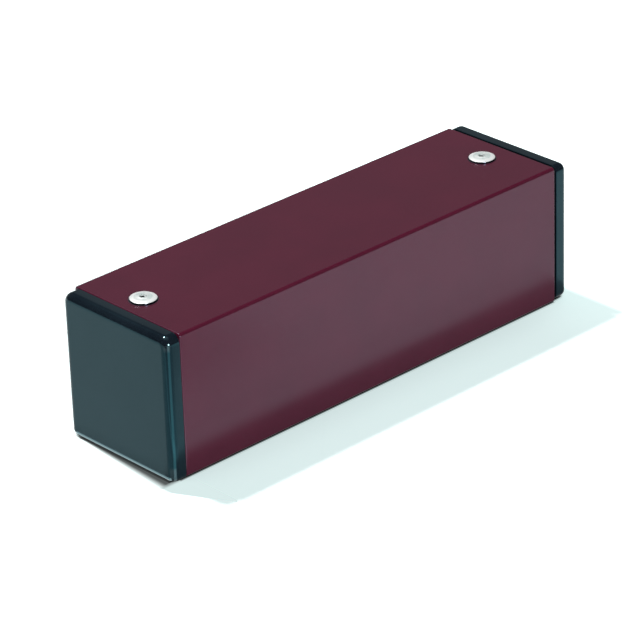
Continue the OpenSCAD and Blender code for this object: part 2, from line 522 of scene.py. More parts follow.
@dataclass(frozen=True)
class TubeFinish:
    """Burgundy anodised aluminium, satin, with faint die lines along the tube and a ring of painted shade
    round each rivet's head.
    """

    colour: Colour = (0.094, 0.0095, 0.028)
    deep_colour: Colour = (0.083, 0.0080, 0.025)
    worn_colour: Colour = (0.15, 0.05, 0.075)
    gloss_tint: Colour = (0.67, 0.80, 1.0)
    roughness: float = 0.24
    roughness_swing: float = 0.10
    ior: float = 1.60
    coat: float = 0.04
    coat_roughness: float = 0.08
    fine_scale: float = 2600.0
    fine_share: float = 0.6
    broad_scale: float = 45.0
    cloud_span: Span = (0.3, 0.7)
    die_stretch: Triple = (0.02, 1, 1)
    bump_height: float = 0.004 * MM
    bump_strength: float = 0.5
    wear_reach: float = 0.5 * MM
    wear_scale: float = 900.0
    wear_share: float = 0.35
    # Painted shade: a dark, dull, uncoated ring on the tube round each rivet's head.
    grime_colour: Colour = (0.004, 0.002, 0.003)
    grime_width: float = 0.6 * MM
    grime_roughness: float = 0.8
    bare_from: float = 0.5

    def material(self, effects: Effects, tube: "TubeShell",
                 rivets: Sequence["BlindRivet"]) -> bpy.types.Material:
        """Builds the finish.

        Args:
            effects: The shared effects.
            tube: The tube, for the places of its edges.
            rivets: The rivets, for the painted shade round their heads.

        Returns:
            The material.
        """
        material, sheet, shader = new_material("tube_burgundy_satin")
        place = sheet.object_place(tube.middle)
        grain = effects.grain(sheet, place, self.fine_scale, self.broad_scale, self.die_stretch)
        half_size = (tube.length / 2, tube.width / 2, tube.width / 2)
        wear = effects.edge_wear(sheet, place, half_size, self.wear_reach, self.wear_scale)
        rubbed = sheet.maths("MULTIPLY", wear, self.wear_share)
        cloud = sheet.ramp(grain["Broad"], *self.cloud_span, 0.0, 1.0)
        tone = sheet.tint(rubbed, sheet.tint(cloud, self.deep_colour, self.colour), self.worn_colour)
        skin = sheet.maths("ADD", sheet.maths("MULTIPLY", grain["Fine"], self.fine_share), grain["Drawn"])
        # Painted shade round the rivets' heads darkens the colour, dulls the gloss and takes off the coat.
        painted_shade = self._grime(sheet, rivets)
        dulled = sheet.ramp(painted_shade, 0.0, 1.0, self.roughness, self.grime_roughness)
        sheet.feed_all(shader, {
            "Base Color": sheet.tint(painted_shade, tone, self.grime_colour),
            "IOR": self.ior,
            "Specular Tint": self.gloss_tint,
            "Coat Weight": sheet.ramp(painted_shade, 0.0, self.bare_from, self.coat, 0.0),
            "Coat Roughness": self.coat_roughness,
            "Roughness": sheet.maths("ADD", sheet.swing(grain["Broad"], self.roughness_swing), dulled),
            "Normal": sheet.bump(skin, self.bump_height, self.bump_strength),
        })
        return material

    def _grime(self, sheet: NodeSheet, rivets: Sequence["BlindRivet"]) -> Socket:
        """Builds the painted shade: a dark ring on the tube round each rivet's head, where its shadow falls.

        Args:
            sheet: The sheet of nodes.
            rivets: The two rivets.

        Returns:
            The strength of the painted shade.
        """
        rings = []
        for rivet in rivets:
            reach = sheet.length(sheet.object_place(rivet.seat))
            head_r = rivet.head_d / 2
            rings.append(sheet.ramp(reach, head_r, head_r + self.grime_width, 1.0, 0.0))
        return sheet.maths("MAXIMUM", *rings)


@dataclass(frozen=True)
class CapFinish:
    """Black moulded plastic with a cool cast: semi-gloss, finely textured, smoother on its edges."""

    colour: Colour = (0.0075, 0.0120, 0.0185)
    pale_colour: Colour = (0.0100, 0.0165, 0.0240)
    worn_colour: Colour = (0.030, 0.048, 0.056)
    gloss_tint: Colour = (0.18, 0.84, 1.0)
    roughness: float = 0.20
    roughness_swing: float = 0.08
    ior: float = 1.58
    fine_scale: float = 3200.0
    broad_scale: float = 70.0
    cloud_span: Span = (0.35, 0.7)
    wear_reach: float = 1.2 * MM
    wear_scale: float = 700.0
    wear_share: float = 0.2
    scuff_scale: float = 800.0
    scuff_rarity: float = 0.76
    scuff_roughness: float = 0.04
    corner_reach: float = 4.5 * MM
    corner_polish: float = 0.75
    corner_core: float = 0.7
    skin_span: Span = (0.05 * MM, 0.3 * MM)
    edge_reach: float = 2.4 * MM
    edge_smoothing: float = 0.08
    edge_core: float = 0.8
    coat_roughness: float = 0.12
    bump_height: float = 0.002 * MM
    bump_strength: float = 0.5

    def material(self, effects: Effects, cap: "EndCap") -> bpy.types.Material:
        """Builds the finish.

        Args:
            effects: The shared effects.
            cap: A cap, for the places of its edges.

        Returns:
            The material.
        """
        material, sheet, shader = new_material("cap_black_moulded")
        place = sheet.object_place((0, 0, cap.tube.width / 2))
        grain = effects.grain(sheet, place, self.fine_scale, self.broad_scale)
        half_size = (abs(cap.outer_x), cap.flange_width / 2, cap.flange_width / 2)
        wear = effects.edge_wear(sheet, place, half_size, self.wear_reach, self.wear_scale)
        rubbed = sheet.maths("MULTIPLY", wear, self.wear_share)
        cloud = sheet.ramp(grain["Broad"], *self.cloud_span, 0.0, 1.0)
        tone = sheet.tint(cloud, self.colour, self.pale_colour)
        scuff = effects.scuffs(sheet, place, self.scuff_scale, self.scuff_rarity)
        polish, smoothed = self._polish(sheet, place, half_size)
        uneven = sheet.maths("ADD", sheet.swing(grain["Broad"], self.roughness_swing), smoothed)
        sheet.feed_all(shader, {
            "Base Color": sheet.tint(rubbed, tone, self.worn_colour),
            "IOR": self.ior,
            "Specular Tint": self.gloss_tint,
            "Coat Weight": polish,
            "Coat Roughness": self.coat_roughness,
            "Roughness": sheet.maths("ADD", uneven, sheet.maths("MULTIPLY", scuff, self.scuff_roughness)),
            "Normal": sheet.bump(grain["Fine"], self.bump_height, self.bump_strength),
        })
        return material

    def _polish(self, sheet: NodeSheet, place: Socket, half_size: Triple) -> tuple[Socket, Socket]:
        """Builds the polish that handling leaves on the rounded outer corners and edges.

        Args:
            sheet: The sheet of nodes.
            place: The coordinates from the middle of the shaker.
            half_size: Half the size of the box that the corners lie in.

        Returns:
            The strength of the corners' polish, and the roughness, which is lower on the edges.
        """
        depth = sheet.parts(sheet.vector("SUBTRACT", half_size, sheet.vector("ABSOLUTE", place)))
        most = sheet.maths("MAXIMUM", sheet.maths("MAXIMUM", depth[0], depth[1]), depth[2])
        least = sheet.maths("MINIMUM", sheet.maths("MINIMUM", depth[0], depth[1]), depth[2])
        total = sheet.maths("ADD", sheet.maths("ADD", depth[0], depth[1]), depth[2])
        middle = sheet.maths("SUBTRACT", sheet.maths("SUBTRACT", total, most), least)
        corner_start = self.corner_core * self.corner_reach
        corner = sheet.ramp(most, corner_start, self.corner_reach, self.corner_polish, 0.0)
        rounded = sheet.ramp(least, *self.skin_span, 0.0, 1.0)
        edge_start = self.edge_core * self.edge_reach
        edge_roughness = self.roughness - self.edge_smoothing
        smoothed = sheet.ramp(middle, edge_start, self.edge_reach, edge_roughness, self.roughness)
        return sheet.maths("MULTIPLY", corner, rounded), smoothed


@dataclass(frozen=True)
class RivetFinish:
    """Aluminium: frosted over the dome, dulled by the setting tool, and at the rim mirroring and painted dark
    as shade.
    """

    colour: Colour = (0.88, 0.92, 0.91)
    dull_colour: Colour = (0.50, 0.62, 0.60)
    # Painted shade: the dark colour of the mirroring rim round the head's foot.
    rim_colour: Colour = (0.10, 0.12, 0.17)
    metallic: float = 0.25
    roughness: float = 0.45
    rim_roughness: float = 0.16
    roughness_swing: float = 0.2
    ring_scale: float = 5200.0
    fine_scale: float = 6000.0
    broad_scale: float = 600.0
    pressed_share: float = 0.7
    pressed_fade: float = 0.4 * MM
    patch_span: Span = (0.38, 0.66)
    patch_least: float = 0.15
    bump_height: float = 0.004 * MM

    def material(self, effects: Effects, rivet: "BlindRivet") -> bpy.types.Material:
        """Builds the finish.

        Args:
            effects: The shared effects.
            rivet: The rivet, for its axis.

        Returns:
            The material.
        """
        material, sheet, shader = new_material(f"rivet_aluminium_{rivet.end.side}")
        place = sheet.object_place(rivet.seat)
        reach = sheet.length(sheet.vector("MULTIPLY", place, (1, 1, 0)))
        rings = sheet.add("ShaderNodeCombineXYZ", {"X": reach}).outputs[0]
        turned = sheet.noise(rings, self.ring_scale, detail=2)
        grain = effects.grain(sheet, place, self.fine_scale, self.broad_scale)
        dent_end = rivet.dent_outer + self.pressed_fade
        pressed = sheet.ramp(reach, rivet.dent_outer, dent_end, self.pressed_share, 0.0)
        patchy = sheet.ramp(grain["Broad"], *self.patch_span, self.patch_least, 1.0)
        dome = sheet.tint(sheet.maths("MULTIPLY", pressed, patchy), self.colour, self.dull_colour)
        # Painted shade: the rim is dark, as if in the head's shadow, and mirrors like bare metal.
        rim = sheet.ramp(sheet.parts(place)["Z"], rivet.rim_h - rivet.rim_r, rivet.rim_h, 1.0, 0.0)
        roughness = sheet.ramp(rim, 0.0, 1.0, self.roughness, self.rim_roughness)
        sheet.feed_all(shader, {
            "Base Color": sheet.tint(rim, dome, self.rim_colour),
            "Metallic": sheet.ramp(rim, 0.0, 1.0, self.metallic, 1.0),
            "Roughness": sheet.maths("ADD", sheet.swing(grain["Broad"], self.roughness_swing), roughness),
            "Normal": sheet.bump(sheet.maths("ADD", turned, grain["Fine"]), self.bump_height),
        })
        return material


@dataclass(frozen=True)
class SteelFinish:
    """Plain steel with a mottled skin, for the mandrels and the shot."""

    name: str
    colour: Colour
    dark_colour: Colour
    metallic: float
    roughness: float
    mottle_scale: float
    bump_height: float
    mottle_span: Span = (0.35, 0.65)
    fine_factor: float = 6
    roughness_swing: float = 0.3
    # Painted shade down in the rivet's bore: its colour, and the height over which it fades in.
    grime_colour: Colour = (0.01, 0.01, 0.01)
    grime_depth: float = 0.15 * MM

    def material(self, effects: Effects, unshaded_above: float = -1.0) -> bpy.types.Material:
        """Builds the finish.

        Args:
            effects: The shared effects.
            unshaded_above: The height from which the steel keeps its own colour. Below it, it is painted
                black as shade down in the rivet's bore.

        Returns:
            The material.
        """
        material, sheet, shader = new_material(self.name)
        place = sheet.object_place((0, 0, 0))
        grain = effects.grain(sheet, place, self.fine_factor * self.mottle_scale, self.mottle_scale)
        mottle = sheet.ramp(grain["Broad"], *self.mottle_span, 0.0, 1.0)
        skin = sheet.tint(mottle, self.dark_colour, self.colour)
        # Painted shade: below the given height the steel is black, as the rivet's bore and the mandrel's pit
        # lie in shade.
        unshaded = sheet.ramp(sheet.parts(place)["Z"], unshaded_above - self.grime_depth, unshaded_above, 0.0, 1.0)
        sheet.feed_all(shader, {
            "Base Color": sheet.tint(unshaded, self.grime_colour, skin),
            "Metallic": self.metallic,
            "Roughness": sheet.maths("ADD", sheet.swing(grain["Fine"], self.roughness_swing), self.roughness),
            "Normal": sheet.bump(grain["Fine"], self.bump_height),
        })
        return material


MANDREL_FINISH = SteelFinish(
    "mandrel_steel_drawn",
    colour=(0.78, 0.84, 0.83),
    dark_colour=(0.45, 0.52, 0.51),
    metallic=0.3,
    roughness=0.45,
    mottle_scale=1800.0,
    bump_height=0.01 * MM,
)
SHOT_FINISH = SteelFinish(
    "shot_steel_tumbled",
    colour=(0.56, 0.58, 0.60),
    dark_colour=(0.38, 0.39, 0.41),
    metallic=1.0,
    roughness=0.32,
    mottle_scale=900.0,
    bump_height=0.006 * MM,
)


# Pieces


def place_piece(obj: bpy.types.Object, material: bpy.types.Material, body: str, node: str) -> None:
    """Dresses a finished piece and puts it in the place of its node.

    Args:
        obj: The piece.
        material: Its finish.
        body: The body that it rides on.
        node: The node that it stands for.
    """
    obj.data.materials.clear()
    obj.data.materials.append(material)
    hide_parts(node)
    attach(obj, body)
    LOG.info("%s stands for %s on %s: %d faces", obj.name, node, body, len(obj.data.polygons))


@dataclass
class TubeShell:
    """The square tube: rounded long edges, open ends with a deburred lip, two rivet holes."""

    width: float = 44.5 * MM
    length: float = 150 * MM
    wall: float = 1.5 * MM
    edge_r: float = 1.0 * MM
    edge_strips: int = 6
    lip: float = 0.5 * MM
    lip_strips: int = 3
    shift: float = 0.35 * MM
    left_trim: float = 0.4 * MM
    finish: TubeFinish = field(default_factory=TubeFinish)

    @property
    def middle(self) -> Vector:
        """The middle of the tube."""
        return Vector((-self.shift, 0, self.width / 2))

    def end_x(self, end: End) -> float:
        """The place of one end of the tube along X."""
        trim = self.left_trim if end is End.LEFT else 0.0
        return end.value * self.length / 2 - self.shift + trim

    def build(self, rivets: Sequence["BlindRivet"]) -> bpy.types.Object:
        """Models the tube.

        Args:
            rivets: The rivets that need a hole.

        Returns:
            The tube's mesh object.
        """
        half_l, half_w = self.length / 2, self.width / 2
        low = Vector((self.end_x(End.LEFT), -half_w, 0))
        high = Vector((self.end_x(End.RIGHT), half_w, self.width))
        blank = Blank.box("tube_shell", low, high)
        blank.pick_edges(lambda edge: abs(edge.verts[0].co.x - edge.verts[1].co.x) > half_l)
        blank.bevel(self.edge_r, self.edge_strips)
        opening = (half_w - self.wall) / half_w
        for end in End:
            blank.pick_faces(lambda face: face.normal.x * end.value > FACING)
            blank.extrude(Vector((0, 0, 0)))
            blank.resize((1, opening, opening), self.middle)
            bpy.ops.mesh.delete(type="FACE")
        blank.pick_edges(lambda edge: edge.is_boundary)
        bpy.ops.mesh.bridge_edge_loops()
        blank.pick_edges(self._is_lip)
        blank.bevel(self.lip, self.lip_strips)
        shell = blank.close()
        for rivet in rivets:
            rivet.drill(shell, 2 * self.wall, self.wall)
        shade(shell)
        return shell

    def _is_lip(self, edge: bmesh.types.BMEdge) -> bool:
        """True for an edge between an end face of the tube and one of its walls."""
        facing = sorted(abs(face.normal.x) for face in edge.link_faces)
        return facing[0] < EDGE_ON and facing[-1] > FACING

    def dress(self, shell: bpy.types.Object, effects: Effects, rivets: Sequence["BlindRivet"]) -> None:
        """Gives the tube its finish and its place, with the rivets that go through it."""
        material = self.finish.material(effects, self, rivets)
        place_piece(shell, material, SHELL_BODY, "tube")


@dataclass
class EndCap:
    """A moulded cap: a flange with rounded edges outside the tube, a hollow plug with grip ribs inside it."""

    end: End
    tube: TubeShell
    gap: float = 0.0
    flange_t: float = 4.6 * MM
    flange_step: float = 0.1 * MM
    flange_r: float = 2.4 * MM
    corner_r: float = 2.9 * MM
    round_strips: int = 8
    foot_cut: float = 0.0
    foot_break: float = 0.1 * MM
    chamfer: float = 0.3 * MM
    chamfer_strips: int = 2
    end_wall: float = 2.6 * MM
    plug_l: float = 16 * MM
    plug_wall: float = 2.5 * MM
    plug_gap: float = 0.4 * MM
    rib_count: int = 3
    rib_w: float = 1.4 * MM
    rib_gap: float = 0.15 * MM
    lead_l: float = 2 * MM
    lead_d: float = 0.8 * MM
    drill_room: float = 1 * MM
    finish: CapFinish = field(default_factory=CapFinish)

    @property
    def flange_width(self) -> float:
        """The flange's width and height."""
        return self.tube.width - 2 * self.flange_step

    @property
    def inner_x(self) -> float:
        """The place of the flange's face on the tube along X."""
        return self.tube.end_x(self.end) + self.end.value * self.gap

    @property
    def outer_x(self) -> float:
        """The place of the cap's outer face along X."""
        return self.inner_x + self.end.value * self.flange_t

    @property
    def bore_half(self) -> float:
        """Half the inner width of the tube."""
        return self.tube.width / 2 - self.tube.wall

    def build(self, rivet: "BlindRivet") -> bpy.types.Object:
        """Models the cap.

        Args:
            rivet: The rivet that goes through its plug.

        Returns:
            The cap's mesh object.
        """
        turn = self.end.value
        half_w = self.flange_width / 2
        middle = self.tube.middle
        near_x, far_x = sorted((self.inner_x, self.outer_x))
        low = Vector((near_x, -half_w, middle.z - half_w - self.foot_cut))
        high = Vector((far_x, half_w, middle.z + half_w))
        blank = Blank.box(f"{self.end.side}_end_cap", low, high)
        blank.pick_edges(lambda edge: self._is_out(edge.verts[0]) != self._is_out(edge.verts[1]))
        blank.bevel(self.corner_r, self.round_strips)
        blank.pick_edges(lambda edge: all(self._is_out(vert) for vert in edge.verts))
        blank.bevel(self.flange_r, self.round_strips)
        if self.foot_cut:
            self._cut_foot(middle.z - half_w)
        blank.pick_edges(self._is_inner_rim)
        blank.bevel(self.chamfer, self.chamfer_strips)
        blank.pick_faces(lambda face: face.normal.x * turn < -FACING)
        blank.draw_out(self._plug_stations(), Vector((-turn, 0, 0)), middle)
        cap = blank.close()
        grip = self.tube.wall + self.plug_gap + self.plug_wall
        rivet.drill(cap, grip + self.drill_room, self.drill_room)
        shade(cap)
        return cap

    def _cut_foot(self, height: float) -> None:
        """Cuts the flange's rounded foot flat, which leaves a crisp lower edge.

        Args:
            height: The height of the flat.
        """
        bpy.ops.mesh.select_all(action="SELECT")
        bpy.ops.mesh.bisect(plane_co=(0, 0, height), plane_no=UP, use_fill=True, clear_inner=True)
        bpy.ops.mesh.bevel(offset=self.foot_break, segments=1, affect="EDGES", clamp_overlap=True)

    def _is_out(self, vert: bmesh.types.BMVert) -> bool:
        """True for a corner of the flange's outer face."""
        return abs(vert.co.x - self.outer_x) < self.flange_t / 2

    def _is_inner_rim(self, edge: bmesh.types.BMEdge) -> bool:
        """True for an edge between the flange's sides and its face on the tube."""
        facing = sorted(face.normal.x * -self.end.value for face in edge.link_faces)
        return facing[-1] > FACING and abs(facing[0]) < EDGE_ON

    def _plug_stations(self) -> list[Station]:
        """Lays out the plug: out from the flange over the grip ribs to the mouth, and back into the hollow.

        Returns:
            Pairs of half width and distance from the flange.
        """
        plug = self.bore_half - self.plug_gap
        crest = self.bore_half - self.rib_gap
        pitch = (self.plug_l - self.lead_l) / self.rib_count
        stations = [(self.flange_width / 2 - self.chamfer, 0.0), (plug, 0.0)]
        for rib in range(self.rib_count):
            start = (rib + 0.5) * pitch - self.rib_w / 2
            stations += [(plug, start), (crest, start), (plug, start + self.rib_w)]
        stations += [(plug, self.plug_l - self.lead_l), (plug - self.lead_d, self.plug_l)]
        core = plug - self.plug_wall
        return stations + [(core, self.plug_l), (core, self.end_wall - self.flange_t)]

    def dress(self, cap: bpy.types.Object, material: bpy.types.Material) -> None:
        """Gives the cap the caps' finish and its place."""
        place_piece(cap, material, SHELL_BODY, f"{self.end.side}_cap")


@dataclass
class BlindRivet:
    """A set blind rivet: domed head with the setting tool's mark, shank, bulb, and the mandrel left in it.

    Some outlines are pairs of shares. Under the rim they are shares of its rounding, inwards and up. In the
    head's mouth they are shares of the dent's edge, out from the bore and down from the dome. In the
    mandrel's broken end and its pit they are of the stem's radius, and of the neck's or the pit's depth.
    """

    end: End
    tube: TubeShell
    inset: float
    side_step: float = 1.5 * MM
    sides: int = 48
    hole_d: float = 4.1 * MM
    shank_d: float = 4 * MM
    head_d: float = 8 * MM
    head_h: float = 1.1 * MM
    rim_h: float = 0.6 * MM
    rim_r: float = 0.18 * MM
    rim_under: Station = (0.3, 0.4)
    rim_angles: Triple = (22, 44, 66)
    foot_h: float = 0.02 * MM
    dome_radii: Triple = (3.6 * MM, 3.2 * MM, 2.85 * MM)
    dent_depth: float = 0.05 * MM
    dent_inner: float = 1.55 * MM
    dent_outer: float = 2.5 * MM
    dent_edge: float = 0.08 * MM
    dent_radii: Span = (2.1 * MM, 1.8 * MM)
    mouth_start: float = 1.5
    mouth_round: tuple[Station, ...] = ((0.4, 0.3), (0.0, 1.2))
    grip: float = 4.4 * MM
    bulb_d: float = 6.2 * MM
    bulb_l: float = 3.8 * MM
    bulb_strips: int = 8
    bore_d: float = 2.26 * MM
    mandrel_d: float = 2.2 * MM
    mandrel_sides: int = 24
    mandrel_recess: float = 0.12 * MM
    neck: float = 0.25 * MM
    broken_end: tuple[Station, ...] = ((1.0, 1.0), (0.94, 0.3), (0.84, 0.0))
    pit: tuple[Station, ...] = ((0.84, 0.0), (0.6, 0.03125), (0.54, 0.4), (0.4, 1.0))
    pit_depth: float = 0.8 * MM
    pit_offset: Triple = (-1.0 * MM, 0.1 * MM, 0)
    rough_depth: float = 0.15 * MM
    rough_height: float = 0.05 * MM
    # How far below the mandrel's broken end the painted shade in the bore starts.
    grime_drop: float = 0.06 * MM
    mandrel_head_d: float = 3.6 * MM
    mandrel_head_h: float = 1.4 * MM
    mandrel_head_strips: int = 4
    finish: RivetFinish = field(default_factory=RivetFinish)

    @property
    def seat(self) -> Vector:
        """The point on the tube's top face that the rivet's axis goes through."""
        turn = self.end.value
        along = self.tube.end_x(self.end) - turn * self.inset
        return Vector((along, -turn * self.side_step, self.tube.width))

    @property
    def stem_top(self) -> float:
        """The height of the mandrel's broken end over the seat."""
        return self.head_h - self.mandrel_recess

    @property
    def foot_r(self) -> float:
        """The radius of the head where it sits on the tube."""
        return self.head_d / 2 - self.rim_r

    def drill(self, obj: bpy.types.Object, depth: float, rise: float) -> None:
        """Drills the rivet's hole.

        Args:
            obj: The mesh to cut.
            depth: How far below the seat the hole starts.
            rise: How far over the seat it ends.
        """
        cutter = add_disc(self.seat + DOWN * depth, self.hole_d / 2, depth + rise, self.sides)
        hole = obj.modifiers.new("hole", "BOOLEAN")
        hole.operation = "DIFFERENCE"
        hole.solver = "EXACT"
        hole.object = cutter
        apply_modifier(obj, hole)
        select_only(cutter)
        bpy.ops.object.delete()

    def _dome(self, radius: float) -> float:
        """Works out the height of the head's dome, with the ring that the setting tool pressed into it.

        Args:
            radius: The distance from the axis.

        Returns:
            The height over the seat.
        """
        rise = self.head_h - self.rim_h
        ball = ((self.head_d / 2) ** 2 + rise ** 2) / (2 * rise)
        height = self.head_h - ball + math.sqrt(ball ** 2 - radius ** 2)
        if self.dent_inner < radius < self.dent_outer:
            height -= self.dent_depth
        return height

    def _head_stations(self) -> list[Station]:
        """Lays out the head from its rim over the dome into the bore.

        Returns:
            Pairs of radius and height over the seat.
        """
        head_r, bore_r, edge = self.head_d / 2, self.bore_d / 2, self.dent_edge
        rim_top = self.rim_h - self.rim_r
        inward, rise = (share * self.rim_r for share in self.rim_under)
        stations = [(self.foot_r, self.foot_h), (head_r - inward, rise)]
        stations += [(head_r, self.rim_r), (head_r, rim_top)]
        for angle in (math.radians(step) for step in self.rim_angles):
            inward = self.rim_r * (1 - math.cos(angle))
            stations.append((head_r - inward, rim_top + self.rim_r * math.sin(angle)))
        radii = [*self.dome_radii, self.dent_outer + edge, self.dent_outer - edge]
        radii += [*self.dent_radii, self.dent_inner + edge, self.dent_inner - edge]
        radii.append(bore_r + self.mouth_start * edge)
        stations += [(radius, self._dome(radius)) for radius in radii]
        mouth = self._dome(bore_r)
        stations += [(bore_r + out * edge, mouth - down * edge) for out, down in self.mouth_round]
        return stations + [(bore_r, -self.grip - self.bulb_l)]

    def _shank_stations(self) -> list[Station]:
        """Lays out the rivet under the head: shank, bulb and the end round the bore.

        Returns:
            Pairs of radius and distance below the seat.
        """
        shank_r, bulb_r, half = self.shank_d / 2, self.bulb_d / 2, self.bulb_l / 2
        stations = [(self.foot_r, 0.0), (shank_r, 0.0), (shank_r, self.grip)]
        for step in range(self.bulb_strips + 1):
            offset = half * (2 * step / self.bulb_strips - 1)
            stations.append((math.sqrt(bulb_r ** 2 - offset ** 2), self.grip + half + offset))
        return stations + [(self.bore_d / 2, self.grip + self.bulb_l)]

    def build(self) -> bpy.types.Object:
        """Models the rivet without its mandrel.

        Returns:
            The rivet's mesh object.
        """
        name = f"{self.end.side}_blind_rivet"
        blank = Blank.disc(name, self.seat, self.foot_r, self.foot_h, self.sides)
        blank.pick_faces(lambda face: face.normal.z > FACING)
        blank.draw_out(self._head_stations(), UP, self.seat)
        bpy.ops.mesh.delete(type="FACE")
        blank.pick_faces(lambda face: face.normal.z < -FACING and len(face.verts) == self.sides)
        blank.draw_out(self._shank_stations(), DOWN, self.seat)
        bpy.ops.mesh.delete(type="FACE")
        rivet = blank.close()
        shade(rivet)
        return rivet

    def build_mandrel(self) -> bpy.types.Object:
        """Models the mandrel: the stem with its rough broken end, and the head that formed the bulb.

        Returns:
            The mandrel's mesh object.
        """
        stem_r, head_r, top = self.mandrel_d / 2, self.mandrel_head_d / 2, self.stem_top
        stem_l = self.grip + self.bulb_l
        foot = self.seat + DOWN * stem_l
        name = f"{self.end.side}_mandrel_stub"
        blank = Blank.disc(name, foot, stem_r, top - self.neck + stem_l, self.mandrel_sides)
        blank.pick_faces(lambda face: face.normal.z > FACING)
        broken = [(share * stem_r, top - deep * self.neck) for share, deep in self.broken_end]
        blank.draw_out(broken, UP, self.seat)
        pit = [(share * stem_r, top - deep * self.pit_depth) for share, deep in self.pit]
        blank.draw_out(pit, UP, self.seat + Vector(self.pit_offset))
        rough_from = self.seat.z + top - self.rough_depth
        blank.pick_faces(lambda face: min(vert.co.z for vert in face.verts) > rough_from)
        bpy.ops.transform.vertex_random(offset=self.rough_height, uniform=0.3, seed=4)
        blank.pick_faces(lambda face: face.normal.z < -FACING)
        head = [(stem_r, stem_l), (head_r, stem_l)]
        for step in range(1, self.mandrel_head_strips + 1):
            drop = self.mandrel_head_h * step / self.mandrel_head_strips
            head.append((math.sqrt(head_r ** 2 - drop ** 2), drop + stem_l))
        blank.draw_out(head, DOWN, self.seat)
        mandrel = blank.close()
        shade(mandrel)
        return mandrel

    def dress(self, rivet: bpy.types.Object, effects: Effects) -> None:
        """Gives the rivet its finish and its place."""
        material = self.finish.material(effects, self)
        place_piece(rivet, material, SHELL_BODY, f"{self.end.side}_rivet")

    def dress_mandrel(self, mandrel: bpy.types.Object, material: bpy.types.Material) -> None:
        """Gives the mandrel the mandrels' finish and its place."""
        place_piece(mandrel, material, SHELL_BODY, f"{self.end.side}_mandrel")


@dataclass
class ShotFill:
    """The loose steel shot: lanes of small balls with flattened poles, on the floor of the tube."""

    tube: TubeShell
    ball_d: float = 2.8 * MM
    gap: float = 0.3 * MM
    balls_in_long_lane: int = 16
    lanes: int = 13
    pole_flat: float = 0.94
    pole_start: float = 0.4

    @property
    def pitch(self) -> float:
        """The distance from ball to ball and from lane to lane."""
        return self.ball_d + self.gap

    def build_lane(self, lane: int) -> bpy.types.Object:
        """Models one lane: one ball, and an array of it.

        Args:
            lane: The lane's number, from 1.

        Returns:
            The lane's mesh object.
        """
        balls = self.balls_in_long_lane - (lane + 1) % 2
        start_x = -(balls - 1) / 2 * self.pitch
        place_y = (lane - (self.lanes + 1) / 2) * self.pitch
        radius = self.ball_d / 2
        middle = Vector((start_x, place_y, self.tube.wall + self.gap + radius))
        pole_from = self.pole_start * radius
        blank = Blank.ball(f"shot_lane_{lane:02d}", middle, radius)
        blank.pick_faces(lambda face: all(abs(vert.co.z - middle.z) > pole_from for vert in face.verts))
        blank.resize((1, 1, self.pole_flat), middle)
        row = blank.close()
        copies = row.modifiers.new("lane", "ARRAY")
        copies.count = balls
        copies.use_relative_offset = False
        copies.use_constant_offset = True
        copies.constant_offset_displace = (self.pitch, 0, 0)
        apply_modifier(row, copies)
        bpy.ops.object.shade_smooth()
        return row

    def dress(self, row: bpy.types.Object, lane: int, material: bpy.types.Material) -> None:
        """Gives a lane the shot's finish and its place."""
        place_piece(row, material, f"shot_{lane}", f"shot_row_{lane}")


# Studio


@dataclass(frozen=True)
class FloorZone:
    """A soft-edged rectangle of the table, in millimetres, that is lighter or darker."""

    low: Span
    high: Span
    edge: float
    level: float

    def mask(self, sheet: NodeSheet, place: Socket) -> Socket:
        """Builds the zone's mask.

        Args:
            sheet: The sheet of nodes.
            place: The table's coordinates.

        Returns:
            The zone's level inside it, and 0 outside.
        """
        middle = [(low + high) / 2 * MM for low, high in zip(self.low, self.high)]
        half = [(high - low) / 2 * MM for low, high in zip(self.low, self.high)]
        offset = sheet.vector("ABSOLUTE", sheet.vector("SUBTRACT", place, (*middle, 0)))
        depth = sheet.parts(sheet.vector("SUBTRACT", (*half, 0), offset))
        inside = sheet.maths("MINIMUM", depth["X"], depth["Y"])
        return sheet.ramp(inside, 0.0, self.edge * MM, 0.0, self.level)


@dataclass(frozen=True)
class FloorWedge:
    """A soft-edged wedge of the table, by its tip in millimetres and by bearings in degrees.

    The bearing is 0 towards -X and 90 degrees towards -Y.
    """

    tip: Span
    start: float
    end: float
    edge: float
    level: float

    def mask(self, sheet: NodeSheet, place: Socket) -> Socket:
        """Builds the wedge's mask.

        Args:
            sheet: The sheet of nodes.
            place: The table's coordinates.

        Returns:
            The wedge's level inside it, and 0 outside.
        """
        tip = [part * MM for part in self.tip]
        offset = sheet.parts(sheet.vector("SUBTRACT", (*tip, 0), place))
        bearing = sheet.maths("ARCTAN2", offset["Y"], offset["X"])
        start, end, edge = (math.radians(angle) for angle in (self.start, self.end, self.edge))
        rise = sheet.ramp(bearing, start, start + edge, 0.0, self.level)
        return sheet.maths("MULTIPLY", rise, sheet.ramp(bearing, end - edge, end, 1.0, 0.0))


